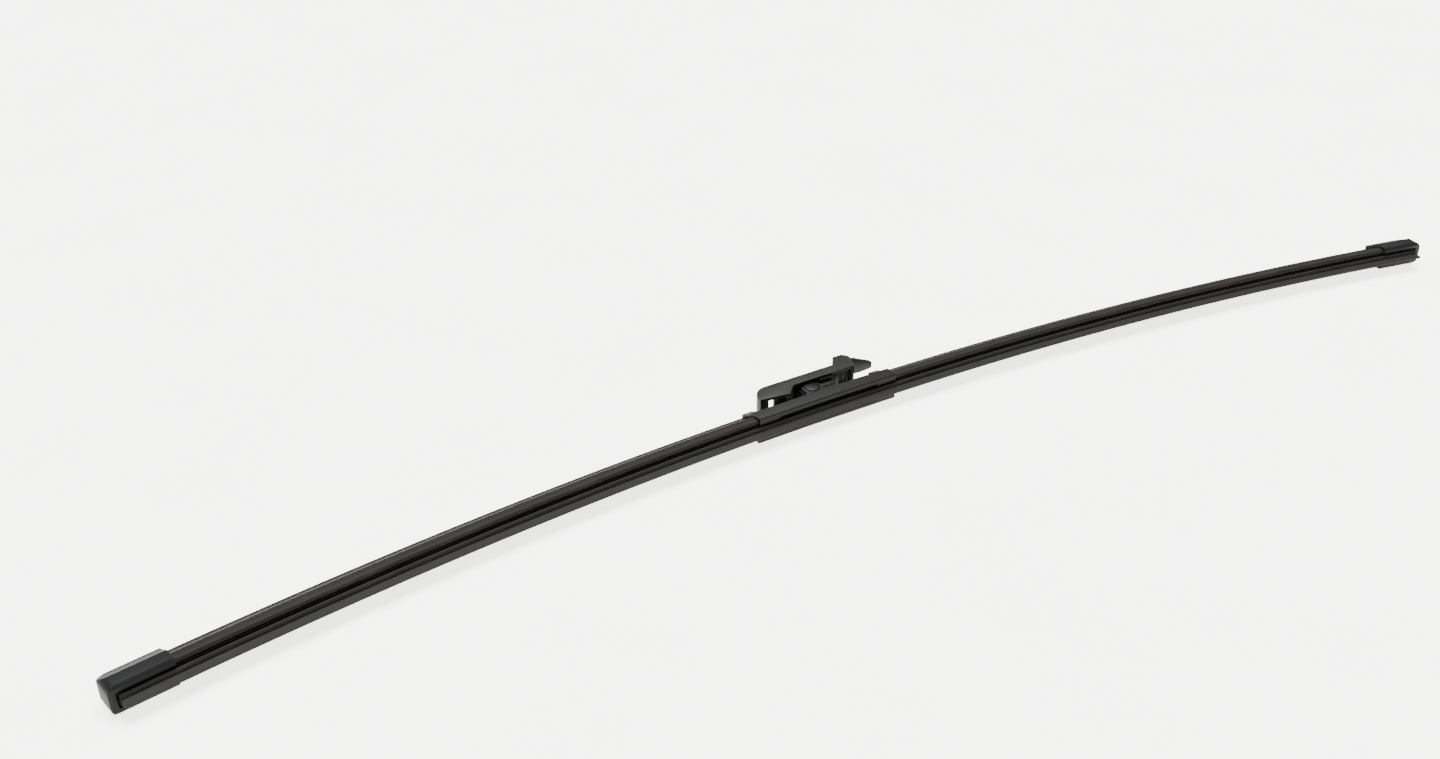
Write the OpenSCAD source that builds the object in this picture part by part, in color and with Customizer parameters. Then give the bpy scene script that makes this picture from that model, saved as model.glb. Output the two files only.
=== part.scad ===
// Flat wiper blade, lying on its side as it rests on a table.
// X runs along the blade, +Y points from the wiping lip to the arm side, +Z up across its width.
// A section of the blade is drawn in (u, w): u away from the glass, w across the blade.
// Swept pieces follow the blade's own bow, so they are turned about the bow's centre.

/* [Blade] */
// Length over the end caps, along the bow
blade_length = 600; // [420:10:800]
// Radius of the unloaded bow
arc_radius = 1560; // [1200:20:4000]
// Station of the connector's pivot from the middle of the blade
connector_offset = -22; // [-60:0.5:60]

/* [Rubber element] */
// Width of the head that holds the rails
head_width = 5; // [4.4:0.2:6.6]
// Width of the neck between the two rail grooves
neck_width = 1.6; // [1.2:0.1:2.6]
// Thickness of the head above the rails
head_top = 0.9; // [0.6:0.1:1.4]
// Thickness of the head below the rails
head_low = 1; // [0.8:0.1:1.8]
// Width of the tilting web
web_width = 1.0; // [0.6:0.1:1.6]
// Height of the tilting web
web_height = 0.8; // [0.5:0.1:1.2]
// Width of the shoulder that limits the tilt
shoulder_width = 4.2; // [3.6:0.2:5.6]
// Height of the shoulder
shoulder_height = 1.3; // [1:0.1:2]
// Height of the wiping lip
lip_height = 3.1; // [2.4:0.1:4]
// Thickness of the lip at its edge
lip_edge = 0.7; // [0.5:0.1:1.2]
// Thickness of the lip at its root
lip_root = 1.5; // [1.3:0.1:2.2]

/* [Spring rails] */
// Width of one rail
rail_width = 2.75; // [2.4:0.05:4.6]
// Thickness of one rail
rail_thick = 0.9; // [0.6:0.1:1.2]

/* [Spoiler] */
// Height of the ridge above the rubber's head
spoiler_height = 7.5; // [5:0.25:10]
// Height of the side wall above the rubber's head
spoiler_side = 1; // [0.6:0.1:2]
// Width of the rounded ridge
ridge_width = 1.6; // [1:0.1:3]
// Wall beside the rails
spoiler_wall = 0.75; // [0.6:0.05:1.4]
// Thickness of the claws under the rails
spoiler_claw = 0.9; // [0.6:0.1:1.4]
// Bevel along the outside of the claws
claw_bevel = 0.6; // [0.2:0.05:0.7]

/* [End caps] */
// Length of an end cap
cap_length = 21; // [16:1:40]
// Wall of an end cap
cap_wall = 0.95; // [0.8:0.05:2]
// Thickness of the closed end
cap_end = 2.5; // [1.5:0.25:4]
// Thickness of the cap's lips under the claws
cap_lip = 0.7; // [0.6:0.1:2.4]
// Radius of the cap's outer corners
cap_round = 3.2; // [1:0.2:4]
// Sheet of the clips that tie the rails inside the caps
clip_sheet = 0.6; // [0.4:0.05:0.8]
// Length of those clips
clip_length = 5; // [3:0.5:6]

/* [Centre bracket] */
// Length of the bracket along the rails
bracket_length = 46; // [40:1:60]
// Sheet thickness of the bracket
bracket_sheet = 1; // [0.8:0.1:1.5]
// Length of each claw
bracket_claw = 9; // [6:0.5:11]
// Thickness of the bracket's ears
ear_sheet = 1.1; // [0.8:0.1:1.2]
// Radius of the ears round the pivot
ear_round = 4.2; // [3.8:0.1:4.6]
// Length of the ears at their root
ear_root = 16; // [12:1:18]
// Height of the pivot above the rubber's head
pivot_height = 8; // [7.6:0.1:10]
// Radius of the pivot rivet
rivet_radius = 2; // [1.5:0.1:2.2]
// Radius of the rivet's heads
rivet_head = 3.4; // [3:0.1:3.8]
// Wall of the sleeve on the rivet
sleeve_wall = 0.65; // [0.5:0.05:1]

/* [Bracket shroud] */
// Length of the shroud over its two ramps
shroud_length = 65; // [63:1:80]
// Wall of the shroud
shroud_wall = 0.8; // [0.7:0.05:1.6]
// Height of the shroud's side walls
shroud_side = 2.8; // [2:0.1:2.9]
// Length of each ramp
ramp_length = 4; // [3:0.5:6]
// Flat end of the shroud past each ramp
shroud_land = 3.5; // [2:0.5:5]

/* [Arm adapter] */
// Width of the adapter
adapter_width = 11.6; // [11.4:0.2:13.6]
// Wall of the adapter's cheeks
cheek_wall = 1.2; // [1:0.05:1.3]
// Height of the deck's outer face above the rubber's head
deck_height = 15.25; // [14:0.25:16.5]
// Thickness of the deck
deck_thick = 1.4; // [1:0.1:1.6]
// Height of the cheeks, from the deck's outer face down
cheek_height = 5; // [4.5:0.25:7]
// Outer radius of the rounded nose
nose_radius = 7; // [5.5:0.25:8]
// Thickness of the nose bar
nose_bar = 3.2; // [2:0.2:3.6]
// Distance from the pivot to the tip of the nose
nose_reach = 24.5; // [22:0.5:26]
// Length of the window behind the nose, for the arm's hook
hook_window = 5; // [4.6:0.2:6]
// Thickness of the adapter's end wall
end_wall = 1.2; // [0.8:0.1:2]
// How far the adapter swings nose down
swing_nose = 9; // [4:1:9]
// How far the adapter swings latch down
swing_latch = 6; // [4:1:7]

/* [Release lever] */
// Distance from the pivot to the lever's pin
lever_reach = 21; // [19.5:0.5:24]
// Height of the lever's pin above the deck's outer face
lever_rise = 1.1; // [0.5:0.1:2]
// Radius of the lever's pin
lever_pin_radius = 1.2; // [0.8:0.1:1.4]
// Width of the lever
lever_width = 6.8; // [5:0.2:7.2]
// Thickness of the thumb tab
tab_thick = 1.7; // [1.2:0.1:2.2]
// Reach of the thumb tab past the lever's pin
tab_reach = 14.5; // [12:0.5:15]
// Reach of the latch arm before the lever's pin
latch_reach = 7.4; // [6.6:0.1:8]
// Depth of the latch tooth below its arm
tooth_depth = 2.3; // [1.5:0.1:2.5]
// How far the lever turns when it is pressed
lever_travel = 10; // [4:1:10]

/* [Hidden] */
$fn = 96;
fine = 720;

// Clearances
slide_gap = 0.05;   // rail in its groove and under its claws
head_gap = 0.1;     // above and beside the rubber's head
slit = 0.4;         // between a claw's tip and the rubber
cap_gap = 0.15;     // cap or shroud over the spoiler
shroud_gap = 0.15;  // shroud over the bracket
pin_fit = 0.02;     // pressed pins
pin_run = 0.05;     // turning pins
side_run = 0.1;     // beside a turning piece
swing_gap = 0.75;   // under the nose when the adapter is level
tab_gap = 2.3;      // under the thumb tab, swung and pressed
latch_play = 0.4;   // before the latch tooth in its window
strip_play = 0.5;   // at the strip's ends, inside the caps
rivet_room = 0.8;   // between an ear and a cheek, for the rivet's head
open = shroud_length;  // longer than anything that a cut has to pass through

// Bevels and small walls
head_bevel = 0.3;       // corners of the rubber's head
shoulder_bevel = 0.7;   // corners of the rubber's shoulder
head_thick = 0.55;      // rivet heads, half of it bevelled
rivet_bevel = 0.6;
ramp_back = 0.5;        // solid left behind each ramp
ramp_over = 0.4;        // ramp's upper edge over the ridge
cap_ridge_half = 2;     // half of the cap's ridge
nick = 0.04;            // a rounded corner crosses its faces by this much
ear_sink = 0.4;         // ears rooted in the bracket's plate
hub_radius = 2.7;       // the lever's hub and the bosses beside it
hub_cover = 1.2;        // the adapter's ears round the hub
ear_flat = 2.2;         // half of each ear's flat top
wall_bevel = 0.5;       // bevel that a cover's wall adds to the claws' own
ear_ramp = 7;           // foot of each ear before the lever's pin
nose_step = 5.5;        // foot of the nose behind its middle
block_wall = 1.8;       // pivot block round the sleeve
wing_rise = 1.8;        // underside of the block's wing above the pivot
rim = 0.3;              // deck left beside a window
rib = 1.8;              // cross rib between two windows
rib_opening = 3.6;      // length of the window behind that rib
slot_width = 1.6;
slot_pitch = 3.6;
slot_start = -1.5;
slot_rim = 1.4;         // deck left at the ends of a slot
slots = 3;
tooth_length = 2;
knee_rise = 4.6;        // highest point of the thumb tab above the pin
knee_drop = 0.3;        // its corner nearest to the pin lies lower
tab_bend = 5;           // bend in the tab before its tip
bend_rise = 2;          // that bend above the tip
taper_start = 7.5;      // the tab gets narrower past this
knee_low = 4.5;         // underside of the knee
tip_share = 0.55;       // share of the lever's width left at the tip
tip_bevel = [0.4, 0.6]; // its underside: way from the tip, share of the thickness
hub_share = 0.8;        // the arm meets the hub at this share of its radius
root_low = [2.2, -1.2]; // the tab's root below and above the pin
root_high = [-1.9, 1.8];
knee_start = 2;
knee_peak = 3.6;
waist_angle = 25;       // the bracket's ears narrow from this angle down
weld = 0.01;            // touching outlines overlap by this much

// How strongly each flank is hollowed, from its side wall up to the ridge
fin_bow = 1.7;
room_bow = 1.65;        // room for the fin inside the shroud
cap_room_bow = 1.55;    // and inside a cap
shroud_bow = 1.5;
cap_bow = 1.25;

// Heights of the section, counted from the top of the rubber's head
groove_top = -head_top;
groove_low = groove_top - rail_thick - 2 * slide_gap;
head_base = groove_low - head_low;
web_base = head_base - web_height;
shoulder_base = web_base - shoulder_height;
lip_tip = shoulder_base - lip_height;

// Half widths of the section
rail_in = neck_width / 2 + slide_gap;
rail_out = rail_in + rail_width;
bay_half = rail_out + slide_gap;
head_bay = head_width / 2 + head_gap;
throat_half = head_width / 2 + slit;
spoiler_half = bay_half + spoiler_wall;
bracket_half = bay_half + bracket_sheet;
cap_half = spoiler_half + cap_gap + cap_wall;
shroud_half = bracket_half + shroud_gap + shroud_wall;
rest_half = max(cap_half, shroud_half, adapter_width / 2);

// Stations along the bow
half = blade_length / 2;
strip_end = half - cap_end - strip_play;
spoiler_end = half - cap_length / 2;
clip_mid = (spoiler_end + strip_end) / 2;
shroud_half_length = shroud_length / 2;
spoiler_start = shroud_half_length - shroud_land;
ramp_start = spoiler_start - ramp_length - ramp_back;

// Heights of the covers
claw_base = groove_low - spoiler_claw;
bracket_base = groove_low - bracket_sheet;
bracket_top = head_gap + bracket_sheet;
cap_ridge = spoiler_height + cap_gap + cap_wall;
cap_base = claw_base - cap_gap - cap_lip;
cap_nose = 1.5 * cap_round;
shroud_ridge = spoiler_height + cap_gap + shroud_wall;
shroud_base = bracket_base - shroud_gap - shroud_wall;

// The connector, counted from the pivot along the blade
cheek_in = adapter_width / 2 - cheek_wall;
ear_out = cheek_in - rivet_room;
ear_in = ear_out - ear_sheet;
sleeve_radius = rivet_radius + pin_fit + sleeve_wall;
deck_base = deck_height - deck_thick;
nose_mid = nose_reach - nose_radius;
nose_centre = [-nose_mid, deck_height - nose_radius];
pin_height = deck_height + lever_rise;
ear_radius = hub_radius + hub_cover;
adapter_end = lever_reach + end_wall + rim;
boss_in = lever_width / 2 + side_run;
pin_half = adapter_width / 2 - cheek_wall / 2;
cheek_low = deck_height - cheek_height;
nose_foot = nose_step - nose_mid;
nose_low = shroud_side + swing_gap + (nose_mid - nose_step) * tan(swing_nose);
ear_top = pin_height + ear_radius;
window_start = -nose_mid - (nose_radius - nose_bar) / 4;
rib_window = [window_start + hook_window + rib, window_start + hook_window + rib + rib_opening];
latch_sweep = latch_reach + (deck_thick + tooth_depth) * sin(lever_travel);
latch_window = [lever_reach - latch_sweep - latch_play, lever_reach - hub_radius + rim];
wall_top = pin_height - hub_radius - (adapter_end - lever_reach) * tan(lever_travel) - side_run;
tab_tip = spoiler_height + tab_gap + (lever_reach + tab_reach) * sin(swing_latch)
    + tab_reach * sin(lever_travel) - pin_height;

// The whole part is centred over its own footprint
lip_low = (arc_radius + lip_tip) * cos(turn(strip_end)) - arc_radius;
lever_high = (arc_radius + pin_height + knee_rise) * cos(turn(connector_offset)) - arc_radius;
arc_shift = -(lip_low + lever_high) / 2;

// Angle in degrees of a length along the bow
function turn(s) = s / arc_radius * 180 / PI;

// Points of one concave flank, from the side wall up to the ridge
function flank(side, low, top, ridge, bow, steps = 8) = [
    for (i = [0:steps])
        let (t = i / steps)
        [low + (ridge - low) * t, top + (side - top) * pow(1 - t, bow)]
];

// Mirrors a half outline to the other side of the blade
function both_sides(points) = concat(
    points, [for (i = [len(points) - 1:-1:0]) [points[i][0], -points[i][1]]]
);

// Puts the bow's middle over the table
module lying() {
    translate([0, arc_shift, rest_half]) children();
}

// Sweeps a (u, w) section along the bow between two stations
module sweep(from, to) {
    translate([0, -arc_radius, 0])
        rotate_extrude(angle = turn(to - from), start = 90 - turn(to), $fn = fine)
            translate([arc_radius, 0]) children();
}

// Straight frame at a station: x along the blade, y = u, z = w
module at_station(s) {
    translate([0, -arc_radius, 0])
        rotate([0, 0, -turn(s)])
            translate([0, arc_radius, 0]) children();
}

// Extrudes an (x, u) outline across the blade, centred on its mid plane
module across(width) {
    translate([0, 0, -width / 2]) linear_extrude(width) children();
}

// Extrudes an (x, w) outline away from the glass
module upward(low, high) {
    translate([0, high, 0])
        rotate([90, 0, 0]) linear_extrude(high - low) children();
}

// A rectangle in (u, w), the same on both sides of the mid plane
module band(low, high, half_width) {
    translate([low, -half_width]) square([high - low, 2 * half_width]);
}

// Outline of the spoiler's outside, grown by a wall, with bevelled claws
module fin(side, low, base, ridge, ridge_half, bow, bevel) {
    polygon(both_sides(concat(
        [[base, side - bevel], [base + bevel, side]],
        flank(side, low, ridge_half, ridge, bow)
    )));
}

// Room for the rails and the rubber's head inside a claw
module rail_bay(base) {
    band(groove_low, groove_top, bay_half);
    band(groove_low - weld, head_gap, head_bay);
    band(base - 1, groove_low, throat_half);
}

// Claw section: a bay for the rails in a wall of the given thickness
module claw_section(wall, base, top) {
    difference() {
        band(base, top, bay_half + wall);
        rail_bay(base);
    }
}

module spoiler_section() {
    difference() {
        fin(spoiler_half, spoiler_side, claw_base, spoiler_height, ridge_width / 2, fin_bow,
            claw_bevel);
        rail_bay(claw_base);
    }
}

module wiping_rubber() {
    color("#2a2a2b") lying() sweep(-strip_end, strip_end)
        polygon(both_sides([
            [lip_tip, lip_edge / 2],
            [shoulder_base, lip_root / 2],
            [shoulder_base, shoulder_width / 2 - shoulder_bevel],
            [shoulder_base + shoulder_bevel, shoulder_width / 2],
            [web_base, shoulder_width / 2],
            [web_base, web_width / 2],
            [head_base, web_width / 2],
            [head_base, head_width / 2 - head_bevel],
            [head_base + head_bevel, head_width / 2],
            [groove_low, head_width / 2],
            [groove_low, neck_width / 2],
            [groove_top, neck_width / 2],
            [groove_top, head_width / 2],
            [-head_bevel, head_width / 2],
            [0, head_width / 2 - head_bevel]
        ]));
}

// One spring rail, on the side given by the sign
module rail(side) {
    sweep(-strip_end, strip_end)
        translate([groove_low + slide_gap, side > 0 ? rail_in : -rail_out])
            square([rail_thick, rail_width]);
}

module spring_rail_upper() {
    color("#77797c") lying() rail(1);
}

module spring_rail_lower() {
    color("#77797c") lying() rail(-1);
}

module spoiler_left() {
    color("#3a3a3b") lying()
        sweep(-spoiler_end, connector_offset - spoiler_start) spoiler_section();
}

module spoiler_right() {
    color("#3a3a3b") lying()
        sweep(connector_offset + spoiler_start, spoiler_end) spoiler_section();
}

// Rounds one outer corner of a cap, in the plane that the caller sets
module corner_cut(radius) {
    difference() {
        square([radius + 1, radius + 1]);
        circle(radius);
    }
}

// An end cap for the +X end of the blade
module end_cap() {
    difference() {
        sweep(half - cap_length, half)
            fin(cap_half, spoiler_side + cap_wall, cap_base, cap_ridge, cap_ridge_half, cap_bow,
                claw_bevel + wall_bevel);
        sweep(half - cap_length - 1, half - cap_end) {
            fin(spoiler_half + cap_gap, spoiler_side + cap_gap, claw_base - cap_gap,
                spoiler_height + cap_gap, ridge_width / 2 + cap_gap, cap_room_bow, claw_bevel);
            band(cap_base - 1, claw_base, throat_half);
        }
        at_station(half) {
            for (side = [0, 1]) mirror([0, 0, side])
                upward(-open / 2, open / 2)
                    translate([nick - cap_round, cap_half - cap_round + nick])
                        corner_cut(cap_round);
            across(open)
                translate([nick - cap_nose, cap_ridge - cap_nose + nick]) corner_cut(cap_nose);
        }
    }
}

module end_cap_right() {
    color("#333334") lying() end_cap();
}

module end_cap_left() {
    color("#333334") lying() mirror([1, 0, 0]) end_cap();
}

// The steel clip that ties the two rails together inside a cap
module rail_clip() {
    sweep(clip_mid - clip_length / 2, clip_mid + clip_length / 2)
        claw_section(clip_sheet, groove_low - clip_sheet, head_gap + clip_sheet);
}

module rail_clip_right() {
    color("#8a8c8f") lying() rail_clip();
}

module rail_clip_left() {
    color("#8a8c8f") lying() mirror([1, 0, 0]) rail_clip();
}

// Outline of one ear: a disc round the pivot on a tapering root
module ear_outline() {
    translate([0, pivot_height]) circle(ear_round);
    waist = ear_round * [cos(waist_angle), sin(waist_angle)];
    polygon([
        [-ear_root / 2, bracket_top - ear_sink], [ear_root / 2, bracket_top - ear_sink],
        [waist[0], pivot_height - waist[1]], [-waist[0], pivot_height - waist[1]]
    ]);
}

module centre_bracket() {
    reach = bracket_length / 2;
    color("#2b2b2d") lying() difference() {
        union() {
            sweep(connector_offset - reach, connector_offset + reach)
                band(head_gap, bracket_top, bracket_half);
            for (from = [-reach, reach - bracket_claw])
                sweep(connector_offset + from, connector_offset + from + bracket_claw)
                    claw_section(bracket_sheet, bracket_base, bracket_top);
            at_station(connector_offset) for (side = [-1, 1])
                translate([0, 0, side * (ear_in + ear_out) / 2])
                    across(ear_sheet) ear_outline();
        }
        at_station(connector_offset)
            translate([0, pivot_height, 0])
                cylinder(r = rivet_radius + pin_fit, h = open, center = true);
    }
}

// Side outline of everything above the trough and its ramps, sunk or raised by a wall
module above_trough(wall) {
    rise = shroud_ridge + ramp_over - shroud_side;
    slope = atan2(rise, ramp_length);
    foot = ramp_start + wall / sin(slope) - wall / tan(slope);
    head = ramp_start + ramp_length + wall / sin(slope);
    polygon([
        [-head, shroud_ridge + open], [-head, shroud_ridge + ramp_over],
        [-foot, shroud_side - wall], [foot, shroud_side - wall],
        [head, shroud_ridge + ramp_over], [head, shroud_ridge + open]
    ]);
}

module bracket_shroud() {
    spread = shroud_half_length + 1;
    color("#303031") lying() difference() {
        sweep(connector_offset - shroud_half_length, connector_offset + shroud_half_length)
            fin(shroud_half, spoiler_side + shroud_wall, shroud_base, shroud_ridge,
                ridge_width / 2 + shroud_wall, shroud_bow, claw_bevel);
        at_station(connector_offset) across(open) above_trough(0);
        // The hollow that the spoiler ends slide into, one wall below the trough
        difference() {
            sweep(connector_offset - spread, connector_offset + spread)
                fin(spoiler_half + cap_gap, spoiler_side, claw_base - cap_gap,
                    spoiler_height + cap_gap, ridge_width / 2 + cap_gap, room_bow, claw_bevel);
            at_station(connector_offset) across(open) above_trough(shroud_wall);
        }
        // Slot for the rubber between the lips
        sweep(connector_offset - spread, connector_offset + spread)
            band(shroud_base - 1, claw_base, throat_half);
        // Room for the bracket
        sweep(connector_offset - bracket_length / 2 - shroud_gap,
              connector_offset + bracket_length / 2 + shroud_gap) {
            band(bracket_base - shroud_gap, shroud_ridge, bracket_half + shroud_gap);
            band(shroud_base - 1, bracket_base, throat_half + shroud_wall);
        }
    }
}

module pivot_rivet() {
    length = 2 * ear_out;
    color("#4a4a4c") lying() at_station(connector_offset) translate([0, pivot_height, 0]) {
        cylinder(r = rivet_radius, h = length + head_thick / 2, center = true);
        for (side = [0, 1]) mirror([0, 0, side])
            translate([0, 0, ear_out]) {
                cylinder(r = rivet_head, h = head_thick / 2);
                translate([0, 0, head_thick / 2])
                    cylinder(r1 = rivet_head, r2 = rivet_head - rivet_bevel, h = head_thick / 2);
            }
    }
}

module pivot_sleeve() {
    length = 2 * (ear_in - slide_gap);
    color("#b9b7ae") lying() at_station(connector_offset) translate([0, pivot_height, 0])
        difference() {
            cylinder(r = sleeve_radius, h = length, center = true);
            cylinder(r = rivet_radius + pin_fit, h = length + 1, center = true);
        }
}

module pivot_block() {
    block_half = ear_in - side_run;
    block_radius = sleeve_radius + block_wall;
    block_top = deck_base - slide_gap - pivot_height;
    wing_start = ear_round + block_wall / 2;
    wing_end = latch_window[0] - latch_play;
    color("#262627") lying() at_station(connector_offset) difference() {
        union() {
            translate([0, pivot_height, 0])
                cylinder(r = block_radius, h = 2 * block_half, center = true);
            across(2 * block_half)
                translate([-block_radius, pivot_height])
                    square([block_radius + wing_end, block_top]);
            across(2 * (cheek_in - slide_gap))
                translate([wing_start, pivot_height + wing_rise])
                    square([wing_end - wing_start, block_top - wing_rise]);
        }
        translate([0, pivot_height, 0])
            cylinder(r = sleeve_radius + pin_run, h = open, center = true);
    }
}

// Side outline of the adapter's cheeks, cut along the bottom so that it can swing
module cheek_outline() {
    intersection() {
        union() {
            translate(nose_centre) circle(nose_radius);
            translate([-nose_mid, 0]) square([nose_mid + adapter_end, deck_height]);
            polygon([
                [lever_reach - ear_ramp, deck_base], [lever_reach - ear_flat, ear_top],
                [lever_reach + ear_flat, ear_top], [lever_reach + ear_radius, ear_top - ear_flat],
                [lever_reach + ear_radius, pin_height], [adapter_end, cheek_low]
            ]);
        }
        polygon([
            [nose_foot - open, open], [nose_foot - open, nose_low + open * tan(swing_nose)],
            [nose_foot, nose_low], [nose_foot + cheek_low - nose_low, cheek_low],
            [open, cheek_low], [open, open]
        ]);
    }
}

// The hollow between the cheeks, inside the nose and under the deck
module hollow_outline() {
    translate(nose_centre) circle(nose_radius - nose_bar);
    translate([-nose_mid, -open]) square([nose_mid + adapter_end - end_wall, open + deck_base]);
    translate([latch_window[1], wall_top]) square([open, open]);
}

module arm_adapter() {
    color("#29292a") lying() at_station(connector_offset) difference() {
        union() {
            difference() {
                across(adapter_width) cheek_outline();
                across(2 * cheek_in) hollow_outline();
            }
            // Bosses for the lever's pin
            for (side = [-1, 1])
                translate([lever_reach, pin_height, side * (boss_in + cheek_in + rim) / 2])
                    cylinder(r = hub_radius, h = cheek_in + rim - boss_in, center = true);
        }
        translate([lever_reach, pin_height, 0])
            cylinder(r = lever_pin_radius + pin_fit, h = 2 * (pin_half + side_run), center = true);
        // Window behind the nose, rib window, grip slots and the latch's window
        for (span = [[window_start, window_start + hook_window], rib_window])
            upward(deck_base - 1, deck_height + 1)
                translate([span[0], rim - cheek_in])
                    square([span[1] - span[0], 2 * (cheek_in - rim)]);
        for (i = [0:slots - 1])
            upward(deck_height - deck_thick / 2, deck_height + 1)
                translate([slot_start + slot_pitch * i, slot_rim - cheek_in])
                    square([slot_width, 2 * (cheek_in - slot_rim)]);
        upward(deck_base - 1, open)
            translate([latch_window[0], -boss_in])
                square([latch_window[1] - latch_window[0] + 1, 2 * boss_in]);
    }
}

module lever_pin() {
    color("#4a4a4c") lying() at_station(connector_offset)
        translate([lever_reach, pin_height, 0])
            cylinder(r = lever_pin_radius, h = 2 * pin_half, center = true);
}

// Side outline of the lever, counted from its pin: latch arm, knee and thumb tab
module lever_outline() {
    arm_top = -lever_rise - side_run;
    arm_low = arm_top - deck_thick;
    knee = knee_rise - knee_drop;
    bend = tab_tip + bend_rise;
    polygon([
        [-latch_reach, arm_top],
        [-latch_reach, arm_low - tooth_depth],
        [tooth_length - latch_reach, arm_low - tooth_depth],
        [tooth_length - latch_reach, arm_low],
        [0, -hub_radius * hub_share],
        root_low,
        [knee_low, knee - tab_thick],
        [tab_reach - tab_bend, bend - tab_thick],
        [tab_reach - tip_bevel[0], tab_tip - tab_thick * tip_bevel[1]],
        [tab_reach, tab_tip],
        [tab_reach - tab_bend, bend],
        [knee_peak, knee_rise],
        [knee_start, knee],
        root_high
    ]);
}

// Plan outline of the lever: straight sides, then a taper to a rounded tip
module lever_plan() {
    side = lever_width / 2;
    tip = tip_share * side;
    polygon(both_sides(concat(
        [[-open, side], [taper_start, side]],
        [for (a = [75:-15:0]) [tab_reach - tip + tip * cos(a), tip * sin(a)]]
    )));
}

module release_lever() {
    color("#242425") lying() at_station(connector_offset)
        translate([lever_reach, pin_height, 0]) difference() {
            union() {
                intersection() {
                    across(lever_width) lever_outline();
                    upward(-open, open) lever_plan();
                }
                cylinder(r = hub_radius, h = lever_width, center = true);
            }
            cylinder(r = lever_pin_radius + pin_run, h = open, center = true);
        }
}

wiping_rubber();
spring_rail_upper();
spring_rail_lower();
spoiler_left();
spoiler_right();
end_cap_left();
end_cap_right();
rail_clip_left();
rail_clip_right();
centre_bracket();
bracket_shroud();
pivot_rivet();
pivot_sleeve();
pivot_block();
arm_adapter();
lever_pin();
release_lever();
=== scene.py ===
# %% [markdown]
# # A flat wiper blade, dressed for its picture
# The solids of this blade are ready: the rubber strip, its two spring rails, the finned
# spoiler, the caps, the bracket with its shroud, and the adapter with its release lever.
# This lesson gives them rounded edges, finer curves and the finish of the real materials.
# Everything is in metres, and X runs along the blade, as it lies on its side on a table.

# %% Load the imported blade
import math

import bpy
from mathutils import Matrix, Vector


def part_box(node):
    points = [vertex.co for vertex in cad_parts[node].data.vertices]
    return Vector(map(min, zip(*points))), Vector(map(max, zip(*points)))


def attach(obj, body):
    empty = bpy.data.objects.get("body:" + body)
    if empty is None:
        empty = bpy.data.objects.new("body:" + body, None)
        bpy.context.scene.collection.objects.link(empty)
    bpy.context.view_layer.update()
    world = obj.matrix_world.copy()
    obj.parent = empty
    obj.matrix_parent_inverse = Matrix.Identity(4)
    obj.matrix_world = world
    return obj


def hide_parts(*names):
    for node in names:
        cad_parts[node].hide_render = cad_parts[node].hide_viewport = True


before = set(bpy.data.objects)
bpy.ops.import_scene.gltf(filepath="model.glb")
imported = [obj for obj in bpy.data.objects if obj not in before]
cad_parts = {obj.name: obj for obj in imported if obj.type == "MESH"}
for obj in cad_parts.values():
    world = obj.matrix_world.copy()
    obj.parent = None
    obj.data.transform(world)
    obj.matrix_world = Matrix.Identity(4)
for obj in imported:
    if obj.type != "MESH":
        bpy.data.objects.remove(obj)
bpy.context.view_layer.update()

MM = 0.001

# %% [markdown]
# ## The camera
# The picture looks down on the blade by thirty degrees and along it by thirty-one, through a
# lens of 37 mm. The camera comes first, because every finish is judged through it.

# %% Place the camera
CAMERA_PLACE = (-0.3157, -0.3971, 0.3048)
TURNED_RIGHT = 31.34
LOOKING_DOWN = 30.02
LENS = 37.11

bpy.ops.object.camera_add(location=CAMERA_PLACE)
camera = bpy.context.object
camera.name = "picture_camera"
camera.rotation_euler = (math.radians(90 - LOOKING_DOWN), 0, math.radians(-TURNED_RIGHT))
camera.data.lens = LENS
camera.data.sensor_width = 36
camera.data.clip_start = 0.01
bpy.context.scene.camera = camera
print("camera at", tuple(round(v, 3) for v in camera.location))

# %% [markdown]
# ## The bow
# A flat blade is bent before it is fitted, so that it presses evenly on the glass. All its long
# pieces follow one circle, whose centre lies far below the lip. Two things need that centre:
# the pieces that are spun round it, and the patterns that run along the strip.

# %% Find the bow's centre
BOW_RADIUS = 1.560
strip_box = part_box("wiping_rubber")
LIE = (strip_box[0][2] + strip_box[1][2]) / 2
BOW_CENTRE = Vector((0, strip_box[1][1] - BOW_RADIUS, LIE))
print("the bow's centre lies", round(-BOW_CENTRE.y, 3), "m below, its mid plane", round(LIE / MM, 2), "mm up")

# %% [markdown]
# ## Helpers for materials
# Colours are written as the hex values a picture shows, and one function turns them into the
# linear values that light is reckoned in. One function joins outputs to inputs, and one adds
# a node and joins it up.
#
# A smooth plastic has a sheen of 0.5 on this scale. Pores, grain and a film of dust swallow
# most of it on the black pieces of a wiper, so they get 0.12 to 0.3.

# %% Colours and nodes
def linear(hex_colour):
    """The linear colour of an sRGB hex value such as #2b2b2d."""
    parts = [int(hex_colour[i:i + 2], 16) / 255 for i in (1, 3, 5)]
    return tuple(c / 12.92 if c <= 0.04045 else ((c + 0.055) / 1.055) ** 2.4 for c in parts) + (1,)

def feed(material, node, joins):
    """Joins outputs of other nodes to the inputs of this one."""
    for key, (other, socket) in dict(joins).items():
        material.node_tree.links.new(other.outputs[socket], node.inputs[key])

def add_node(material, kind, settings=(), values=(), joins=()):
    """Adds one node, sets what it is given, and joins it to nodes that feed it."""
    node = material.node_tree.nodes.new(kind)
    for key, value in dict(settings).items():
        setattr(node, key, value)
    for key, value in dict(values).items():
        node.inputs[key].default_value = value
    feed(material, node, joins)
    return node

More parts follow.
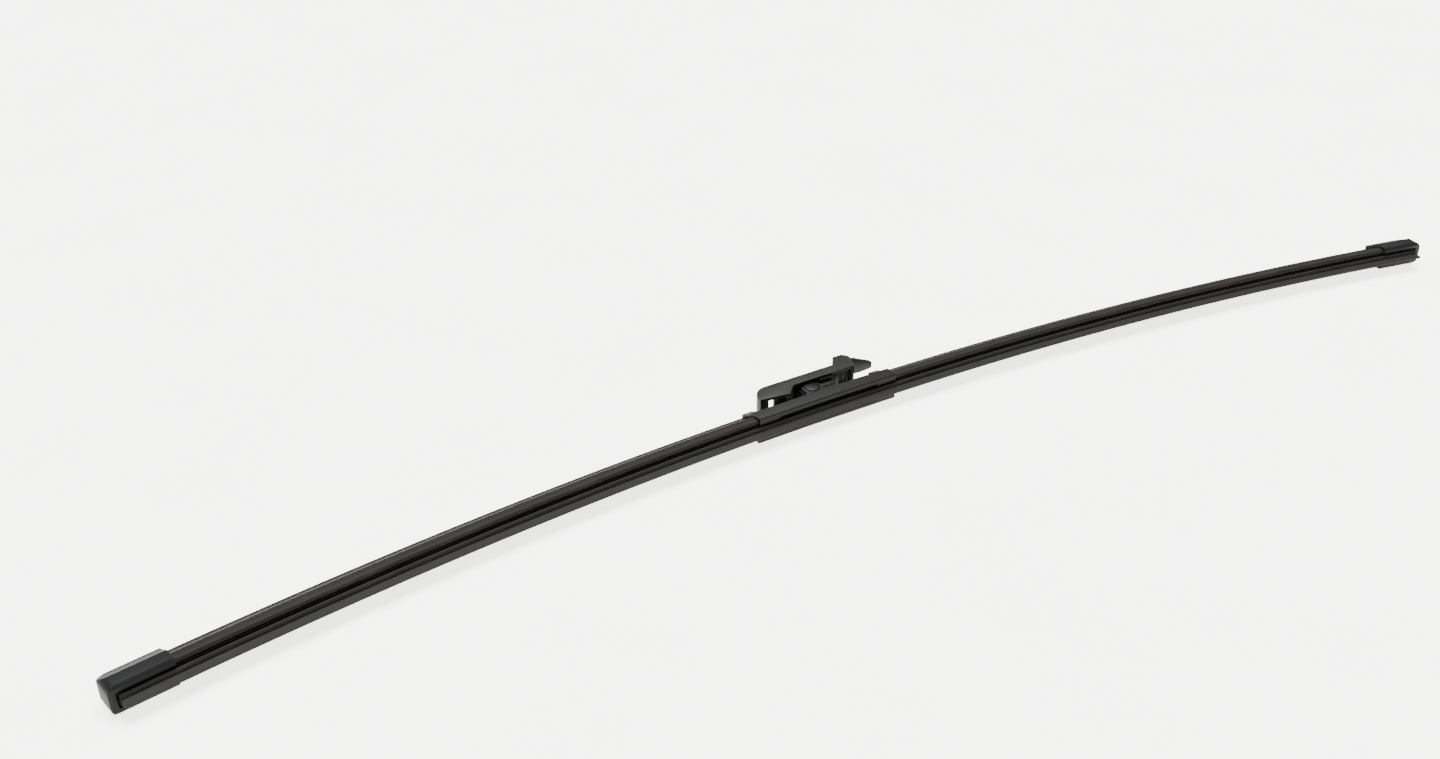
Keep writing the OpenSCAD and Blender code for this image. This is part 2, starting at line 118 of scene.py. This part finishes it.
def new_finish(name, colour, roughness, ior=1.5, metallic=0.0, sheen=0.5):
    """A material with one shader, ready for its pattern."""
    material = bpy.data.materials.new(name)
    material.use_nodes = True
    shader = material.node_tree.nodes["Principled BSDF"]
    shader.inputs["Base Color"].default_value = linear(colour)
    shader.inputs["Roughness"].default_value = roughness
    shader.inputs["Metallic"].default_value = metallic
    shader.inputs["Specular IOR Level"].default_value = sheen
    if not metallic:
        shader.inputs["IOR"].default_value = ior
    return material, shader

print("the black of the rubber, #0d0d0c, is", round(linear("#0d0d0c")[0], 4), "in linear light")

# %% [markdown]
# ## Patterns that run along the blade
# Rubber and spoiler come out of a die as one endless strip, and the die leaves fine lines that
# run with the strip. Straight X would cross the strip near its ends, where the bow turns it by
# eleven degrees. So the place of each point is turned into three lengths: the way along the
# bow, the distance from the bow's centre, and the height over the table.

# %% Lengths along the bow
def along_the_bow(material):
    """A vector of the three lengths, made from the point's place on the piece."""
    place = add_node(material, "ShaderNodeTexCoord")
    centred = add_node(material, "ShaderNodeVectorMath", {"operation": "SUBTRACT"},
                       {1: BOW_CENTRE}, {0: (place, "Object")})
    parts = add_node(material, "ShaderNodeSeparateXYZ", joins={0: (centred, 0)})
    angle = add_node(material, "ShaderNodeMath", {"operation": "ARCTAN2"},
                     joins={0: (parts, "X"), 1: (parts, "Y")})
    station = add_node(material, "ShaderNodeMath", {"operation": "MULTIPLY"},
                       {1: BOW_RADIUS}, {0: (angle, 0)})
    level = add_node(material, "ShaderNodeVectorMath", {"operation": "MULTIPLY"},
                     {1: (1, 1, 0)}, {0: (centred, 0)})
    reach = add_node(material, "ShaderNodeVectorMath", {"operation": "LENGTH"}, joins={0: (level, 0)})
    return add_node(material, "ShaderNodeCombineXYZ",
                    joins={"X": (station, 0), "Y": (reach, "Value"), "Z": (parts, "Z")})

def stretched_noise(material, source, cell, detail=2.0, roughness=0.5):
    """Noise whose cells measure the given lengths in millimetres along X, Y and Z."""
    scaled = add_node(material, "ShaderNodeVectorMath", {"operation": "MULTIPLY"},
                      {1: tuple(1000 / c for c in cell)}, {0: source})
    return add_node(material, "ShaderNodeTexNoise",
                    values={"Scale": 1.0, "Detail": detail, "Roughness": roughness},
                    joins={"Vector": (scaled, 0)})

# %% [markdown]
# ## Extruded finishes
# **Natural rubber, coated with graphite.** The wiping strip is extruded, cured and dusted with
# graphite, so it is a matt black with a silky streak along its length. The die lines are
# about 0.1 mm apart; they are drawn 0.5 mm apart, because finer ones would not show.
#
# **Soft spoiler compound.** The fin is extruded from a softer rubbery plastic. It is a warm
# black, satin, with long faint streaks and a little dust that greys its upper side.

# %% Extruded rubber and spoiler
STREAK_LENGTH = 70
DUST_PATCH = (16, 5, 5)

def extruded_finish(name, dark, light, dust, roughness, sheen, line, depth, dust_share):
    """Two tones drawn out along the strip, dust in patches, and die lines as a bump."""
    material, shader = new_finish(name, dark, roughness, sheen=sheen)
    lengths = along_the_bow(material)
    streaks = stretched_noise(material, (lengths, 0), (STREAK_LENGTH, line, line), 3.0)
    tone = add_node(material, "ShaderNodeMix", {"data_type": "RGBA"},
                    {"A": linear(dark), "B": linear(light)}, {"Factor": (streaks, 0)})
    patches = stretched_noise(material, (lengths, 0), DUST_PATCH, 5.0, 0.65)
    share = add_node(material, "ShaderNodeMapRange", {"interpolation_type": "SMOOTHSTEP"},
                     {"From Min": 0.45, "From Max": 0.8, "To Min": 0.0, "To Max": dust_share},
                     {"Value": (patches, 0)})
    dusty = add_node(material, "ShaderNodeMix", {"data_type": "RGBA"}, {"B": linear(dust)},
                     {"Factor": (share, 0), "A": (tone, "Result")})
    rough = add_node(material, "ShaderNodeMapRange",
                     values={"To Min": roughness - 0.08, "To Max": roughness + 0.12},
                     joins={"Value": (patches, 0)})
    bump = add_node(material, "ShaderNodeBump", values={"Strength": 0.6, "Distance": depth * MM},
                    joins={"Height": (streaks, 0)})
    feed(material, shader, {"Base Color": (dusty, "Result"), "Roughness": (rough, 0), "Normal": (bump, 0)})
    return material

graphited_rubber = extruded_finish(
    "natural_rubber_graphited", dark="#0d0d0c", light="#161514", dust="#282623",
    roughness=0.64, sheen=0.15, line=0.5, depth=0.05, dust_share=0.35)
spoiler_compound = extruded_finish(
    "soft_spoiler_extruded", dark="#0d0d0c", light="#171513", dust="#2f2c28",
    roughness=0.60, sheen=0.14, line=0.9, depth=0.05, dust_share=0.40)
print("extruded finishes:", graphited_rubber.name, spoiler_compound.name)

# %% [markdown]
# ## Moulded finishes
# Caps and shroud are moulded from tough black plastic in a spark-eroded tool, which gives a
# fine grain of about 0.1 mm; it is drawn 0.45 mm wide so that it shows. The adapter holds
# glass fibre, so it is a little greyer. The lever has to flex and slide, so it is acetal,
# which is smoother and a little glossier. The sleeve is the same plastic without colour.

# %% Moulded plastics
FLOW_CLOUD = (9, 6, 6)

def moulded_finish(name, colour, pale, roughness, sheen, grain, depth, ior=1.5):
    """Grain as a fine bump, with faint clouds where the plastic flowed."""
    material, shader = new_finish(name, colour, roughness, ior, sheen=sheen)
    place = add_node(material, "ShaderNodeTexCoord")
    grit = stretched_noise(material, (place, "Object"), (grain, grain, grain), 2.0, 0.6)
    clouds = stretched_noise(material, (place, "Object"), FLOW_CLOUD, 4.0, 0.6)
    tone = add_node(material, "ShaderNodeMix", {"data_type": "RGBA"},
                    {"A": linear(colour), "B": linear(pale)}, {"Factor": (clouds, 0)})
    rough = add_node(material, "ShaderNodeMapRange",
                     values={"To Min": roughness - 0.07, "To Max": roughness + 0.09},
                     joins={"Value": (grit, 0)})
    bump = add_node(material, "ShaderNodeBump", values={"Strength": 0.5, "Distance": depth * MM},
                    joins={"Height": (grit, 0)})
    feed(material, shader, {"Base Color": (tone, "Result"), "Roughness": (rough, 0), "Normal": (bump, 0)})
    return material

cap_plastic = moulded_finish(
    "black_plastic_grained", colour="#0a0b0b", pale="#131414",
    roughness=0.58, sheen=0.12, grain=0.45, depth=0.04)
shroud_plastic = moulded_finish(
    "black_plastic_grained_shroud", colour="#0d0d0d", pale="#171615",
    roughness=0.56, sheen=0.17, grain=0.45, depth=0.04)
adapter_plastic = moulded_finish(
    "glass_filled_nylon_moulded", colour="#0f0f0f", pale="#1c1b19",
    roughness=0.54, sheen=0.19, grain=0.6, depth=0.05, ior=1.53)
lever_plastic = moulded_finish(
    "black_acetal_moulded", colour="#0f0f0f", pale="#191919",
    roughness=0.44, sheen=0.22, grain=0.4, depth=0.02, ior=1.48)
sleeve_plastic = moulded_finish(
    "natural_acetal_turned", colour="#d5d0c4", pale="#e4e0d6",
    roughness=0.36, sheen=0.5, grain=0.4, depth=0.01, ior=1.48)
print(len(bpy.data.materials), "materials so far")

# %% [markdown]
# ## Metal finishes
# The rails are cold-rolled spring steel: bright, with rolling lines along the strip. The
# clips are zinc plated, which is a softer, slightly blue white. Rivet and pin can be seen,
# so they carry a black zinc-nickel plate. The bracket is pressed from sheet and powder
# coated, and its coat has the dimples of an orange's peel.

# %% Steel, zinc and powder coat
ROLLING_LENGTH = 40

def rolled_steel(name, colour, pale, roughness, line):
    """Bare or plated metal with fine lines along the strip."""
    material, shader = new_finish(name, colour, roughness, metallic=1.0)
    lengths = along_the_bow(material)
    streaks = stretched_noise(material, (lengths, 0), (ROLLING_LENGTH, line, line), 4.0, 0.7)
    tone = add_node(material, "ShaderNodeMix", {"data_type": "RGBA"},
                    {"A": linear(colour), "B": linear(pale)}, {"Factor": (streaks, 0)})
    rough = add_node(material, "ShaderNodeMapRange",
                     values={"To Min": roughness - 0.08, "To Max": roughness + 0.15},
                     joins={"Value": (streaks, 0)})
    feed(material, shader, {"Base Color": (tone, "Result"), "Roughness": (rough, 0)})
    return material

def powder_coat(name, colour, pale, peel):
    """Baked paint with shallow dimples."""
    material, shader = new_finish(name, colour, 0.42, sheen=0.3)
    place = add_node(material, "ShaderNodeTexCoord")
    dimples = stretched_noise(material, (place, "Object"), (peel, peel, peel), 1.0, 0.4)
    bump = add_node(material, "ShaderNodeBump", values={"Strength": 0.5, "Distance": 0.06 * MM},
                    joins={"Height": (dimples, 0)})
    tone = add_node(material, "ShaderNodeMix", {"data_type": "RGBA"},
                    {"A": linear(colour), "B": linear(pale)}, {"Factor": (dimples, 0)})
    feed(material, shader, {"Base Color": (tone, "Result"), "Normal": (bump, 0)})
    return material

rail_steel = rolled_steel("spring_steel_rolled", "#7f8285", "#a9acae", roughness=0.30, line=0.35)
zinc_plate = rolled_steel("steel_zinc_plated", "#a3a6aa", "#c4c7ca", roughness=0.34, line=0.8)
bracket_coat = powder_coat("steel_powder_coated", "#101011", "#1c1c1e", peel=1.1)
black_zinc = rolled_steel("steel_black_zinc_nickel", "#1a1a1b", "#282829", roughness=0.48, line=0.8)
print(len(bpy.data.materials), "materials by now")

# %% [markdown]
# ## Spinning the long pieces
# The solid of the strip has a facet every few centimetres and dead sharp corners. On the real
# blade the die has small radii, which catch the light as thin lines. So the section is taken
# from the solid's own end face, its corners are rounded, and it is spun about the bow's
# centre in short steps. That is how a lathe hand would see it: one section, one axis.

# %% Take a section and spin it
SPIN_STEP = 5 * MM
SAME_ANGLE = 1e-5
SMOOTH_BELOW = math.radians(32)

def select_nothing():
    if bpy.context.object and bpy.context.object.mode != "OBJECT":
        bpy.ops.object.mode_set(mode="OBJECT")
    bpy.ops.object.select_all(action="DESELECT")

def copy_of(node, name):
    """A merged copy of a solid, with its imported normals dropped."""
    select_nothing()
    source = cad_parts[node]
    source.select_set(True)
    bpy.context.view_layer.objects.active = source
    bpy.ops.object.duplicate()
    copy = bpy.context.object
    copy.name = name
    copy.data.name = name
    bpy.ops.object.mode_set(mode="EDIT")
    bpy.ops.mesh.select_all(action="SELECT")
    bpy.ops.mesh.customdata_custom_splitnormals_clear()
    bpy.ops.mesh.remove_doubles(threshold=0.002 * MM)
    bpy.ops.object.mode_set(mode="OBJECT")
    return copy

def choose_faces(piece, wanted):
    """Selects the faces that pass a test, and opens edit mode on them."""
    bpy.ops.object.mode_set(mode="EDIT")
    bpy.ops.mesh.select_mode(type="FACE")
    bpy.ops.mesh.select_all(action="DESELECT")
    bpy.ops.object.mode_set(mode="OBJECT")
    for face in piece.data.polygons:
        face.select = wanted(face)
    bpy.ops.object.mode_set(mode="EDIT")

def angle_of(point):
    """Angle about the bow's centre, from the blade's middle towards +X."""
    return math.atan2(point.x - BOW_CENTRE.x, point.y - BOW_CENTRE.y)

def spun_from_end(node, name, end, fillet):
    """Rounds the section at one end of a solid and spins it to the other end."""
    piece = copy_of(node, name)
    corners = piece.data.vertices
    angles = [angle_of(corner.co) for corner in corners]
    low, high = min(angles), max(angles)
    goal = high if end > 0 else low
    choose_faces(piece, lambda face: all(
        abs(angle_of(corners[i].co) - goal) < SAME_ANGLE for i in face.vertices))
    bpy.ops.mesh.select_all(action="INVERT")
    bpy.ops.mesh.delete(type="FACE")
    bpy.ops.mesh.select_all(action="SELECT")
    bpy.ops.mesh.dissolve_faces()
    bpy.ops.mesh.bevel(offset=fillet * MM, segments=3, affect="VERTICES", clamp_overlap=True)
    bpy.ops.mesh.select_all(action="SELECT")
    steps = max(4, round((high - low) * BOW_RADIUS / SPIN_STEP))
    bpy.ops.mesh.spin(steps=steps, angle=(low - high) * end, center=BOW_CENTRE, axis=(0, 0, 1))
    bpy.ops.mesh.select_all(action="SELECT")
    bpy.ops.mesh.normals_make_consistent(inside=False)
    bpy.ops.object.mode_set(mode="OBJECT")
    bpy.ops.object.shade_smooth_by_angle(angle=SMOOTH_BELOW)
    print(name, "spun in", steps, "steps,", len(piece.data.polygons), "faces")
    return piece

def finish(piece, material, body, nodes):
    """Gives a piece its material and its body, and hides the solids that it stands for."""
    piece.data.materials.clear()
    piece.data.materials.append(material)
    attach(piece, body)
    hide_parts(*nodes)

# %% The wiping rubber and the spoiler
rubber_strip = spun_from_end("wiping_rubber", "rubber_strip", end=1, fillet=0.08)
finish(rubber_strip, graphited_rubber, "blade", ["wiping_rubber"])
long_fin = spun_from_end("spoiler_right", "spoiler_fin_long", end=1, fillet=0.22)
finish(long_fin, spoiler_compound, "blade", ["spoiler_right"])
short_fin = spun_from_end("spoiler_left", "spoiler_fin_short", end=-1, fillet=0.22)
finish(short_fin, spoiler_compound, "blade", ["spoiler_left"])

# %% [markdown]
# ## Rounding the moulded pieces
# A mould is cut with small radii, so no edge of a moulded piece is sharp, and neither is the
# edge of a pressed sheet. Each solid is copied, its flat triangles are joined into plain
# faces, and every sharp edge gets a small bevel. Where two bevels would run into each other,
# Blender holds all of them back. On the bracket that brings every bevel down to nothing and
# leaves faces without any area. Let through, its small bevels come out clean.

# %% Round every sharp edge of a solid
FLAT_BELOW = math.radians(0.6)
SHARP_ABOVE = math.radians(28)

def rounded(node, name, radius, held_back=True):
    """A copy of a solid with a small radius on each sharp edge."""
    piece = copy_of(node, name)
    bpy.ops.object.mode_set(mode="EDIT")
    bpy.ops.mesh.select_all(action="SELECT")
    bpy.ops.mesh.dissolve_limited(angle_limit=FLAT_BELOW)
    bpy.ops.object.mode_set(mode="OBJECT")
    bevel = piece.modifiers.new("mould_radius", "BEVEL")
    bevel.width = radius * MM
    bevel.segments = 3
    bevel.limit_method = "ANGLE"
    bevel.angle_limit = SHARP_ABOVE
    bevel.miter_outer = "MITER_ARC"
    bevel.use_clamp_overlap = held_back
    bpy.ops.object.modifier_apply(modifier=bevel.name)
    bpy.ops.object.shade_smooth_by_angle(angle=SMOOTH_BELOW)
    print(name, len(piece.data.polygons), "faces")
    return piece

# %% Caps, shroud, adapter, lever and bracket
for node, name, radius, material, body, slot_name in (
    ("end_cap_left", "cap_left", 0.26, cap_plastic, "blade", "cap_plastic"),
    ("end_cap_right", "cap_right", 0.26, cap_plastic, "blade", "cap_plastic"),
    ("bracket_shroud", "shroud", 0.25, shroud_plastic, "blade", "shroud_plastic"),
    ("arm_adapter", "adapter", 0.22, adapter_plastic, "adapter", "adapter_plastic"),
    ("pivot_block", "turning_block", 0.2, adapter_plastic, "adapter", "adapter_plastic"),
    ("release_lever", "thumb_lever", 0.3, lever_plastic, "lever", "lever_plastic"),
    ("pivot_rivet", "rivet", 0.12, black_zinc, "blade", "rivet_steel"),
):
    finish(rounded(node, name, radius), material, body, [node])
bracket = rounded("centre_bracket", "bracket", 0.12, held_back=False)
finish(bracket, bracket_coat, "blade", ["centre_bracket"])

# %% [markdown]
# ## Grip ribs on the thumb tab
# The lever is pressed with a wet or greasy thumb, so its tab carries a few low ribs. They are
# part of the same moulding. So they are raised out of the tab's own flat face: the face is cut
# across, every second strip is drawn in and lifted, and its new edges are rounded.

# %% Find the sloping face of the tab
SLOPE_FROM, SLOPE_TO = 24.7, 30.4
SLOPE_ONWARD, SLOPE_OUTWARD = 0.40, 0.89

pivot = sum((Vector(corner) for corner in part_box("pivot_rivet")), Vector()) / 2
outward = (pivot - BOW_CENTRE).normalized()
onward = Vector((outward.y, -outward.x, 0))

def reach_of(point):
    """Way along the blade from the pivot, in millimetres."""
    return (point - pivot).dot(onward) / MM

def on_the_slope(face):
    """True for the tab's outer faces between its knee and its tip."""
    tilted = face.normal.dot(onward) > SLOPE_ONWARD and face.normal.dot(outward) > SLOPE_OUTWARD
    return tilted and SLOPE_FROM < reach_of(face.center) < SLOPE_TO

lever = bpy.data.objects["thumb_lever"]
slope = max((face for face in lever.data.polygons if on_the_slope(face)), key=lambda face: face.area)
slope_normal = slope.normal.copy()
slope_area = round(slope.area / MM ** 2, 1)
print("the slope faces", [round(v, 3) for v in slope_normal], "and measures", slope_area, "mm2")

# %% Raise the ribs
RIB_START, RIB_PITCH, RIB_WIDTH, RIBS = 25.3, 1.25, 0.7, 4

def flat_enough(face):
    return face.normal.dot(slope_normal) > 0.9999 and on_the_slope(face)

def on_a_rib(face):
    return flat_enough(face) and any(start < reach_of(face.center) < start + RIB_WIDTH for start in starts)

select_nothing()
lever.select_set(True)
bpy.context.view_layer.objects.active = lever
starts = [RIB_START + i * RIB_PITCH for i in range(RIBS)]
for reach in sorted(starts + [start + RIB_WIDTH for start in starts]):
    choose_faces(lever, flat_enough)
    bpy.ops.mesh.bisect(plane_co=pivot + onward * reach * MM, plane_no=onward)
    bpy.ops.object.mode_set(mode="OBJECT")
choose_faces(lever, on_a_rib)
bpy.ops.mesh.inset(thickness=0.12 * MM, depth=0.3 * MM, use_individual=True)
bpy.ops.mesh.bevel(offset=0.08 * MM, segments=2, affect="EDGES")
bpy.ops.object.mode_set(mode="OBJECT")
bpy.ops.object.shade_smooth_by_angle(angle=SMOOTH_BELOW)
print("ribs at", [round(s, 2) for s in starts], "mm;", len(lever.data.polygons), "faces in the lever")

# %% [markdown]
# ## Solids that keep their shape
# What is left sits deep inside: the rails in their grooves, the clips in the caps, the sleeve
# on its rivet and the lever's pin. Their solids are fine as they are and only get a finish.

# %% Dress the inner solids
for node, material in (("spring_rail_upper", rail_steel), ("spring_rail_lower", rail_steel),
                       ("rail_clip_left", zinc_plate), ("rail_clip_right", zinc_plate),
                       ("pivot_sleeve", sleeve_plastic), ("lever_pin", black_zinc)):
    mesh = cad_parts[node].data
    mesh.materials.clear()
    mesh.materials.append(material)
    print(node, "is", material.name)

# %% [markdown]
# ## The table and the light
# In the picture the white of the table is burnt out, and only a faint, wide shadow lies in
# front of the blade. A sheet of paper that is lit from above and glows a little from below
# gives both. The light above is a wide sun, as soft as a silk stretched over the table, and
# it leans back, so that the shadow falls towards the camera. The paper reaches far enough to
# fill a low view, and behind it the camera sees the room as pale as the paper, although the
# room gives the blade little light.

# %% Lay the paper
PAPER_SIZE = 60
PAPER_GLOW = 3.6
PAPER_FIBRE = 60

select_nothing()
bpy.ops.mesh.primitive_plane_add(size=PAPER_SIZE, location=(0, 0, 0))
paper = bpy.context.object
paper.name = "paper"
paper_white, paper_shader = new_finish("white_paper_backlit", "#f7f6f3", 0.9)
paper_place = add_node(paper_white, "ShaderNodeTexCoord")
fibres = stretched_noise(paper_white, (paper_place, "Object"), (PAPER_FIBRE, PAPER_FIBRE, PAPER_FIBRE), 3.0)
paper_tone = add_node(paper_white, "ShaderNodeMix", {"data_type": "RGBA"},
                      {"A": linear("#f5f3ef"), "B": linear("#fbf9f6")}, {"Factor": (fibres, 0)})
feed(paper_white, paper_shader,
     {"Base Color": (paper_tone, "Result"), "Emission Color": (paper_tone, "Result")})
paper_shader.inputs["Emission Strength"].default_value = PAPER_GLOW
paper.data.materials.append(paper_white)
print("a paper of", PAPER_SIZE, "m glows with a strength of", PAPER_GLOW)

# %% Hang the silk and light the room
SILK_STRENGTH = 10
SILK_WIDTH = 42
LEANING_BACK = 13
LEANING_ASIDE = 6
ROOM_LIGHT = 0.22
ROOM_TO_THE_EYE = 6.2

bpy.ops.object.light_add(type="SUN", location=(0, 0.3, 1.5))
silk = bpy.context.object
silk.name = "overhead_silk"
silk.data.energy = SILK_STRENGTH
silk.data.angle = math.radians(SILK_WIDTH)
silk.rotation_euler = (math.radians(-LEANING_BACK), math.radians(LEANING_ASIDE), 0)
room = bpy.data.worlds.new("white_room")
bpy.context.scene.world = room
room.use_nodes = True
room_light = room.node_tree.nodes["Background"]
room_light.inputs["Color"].default_value = linear("#fbfaf8")
ray = add_node(room, "ShaderNodeLightPath")
room_strength = add_node(room, "ShaderNodeMapRange",
                         values={"To Min": ROOM_LIGHT, "To Max": ROOM_TO_THE_EYE},
                         joins={"Value": (ray, "Is Camera Ray")})
feed(room, room_light, {"Strength": (room_strength, 0)})
print("a silk", SILK_WIDTH, "degrees wide and a dim room")
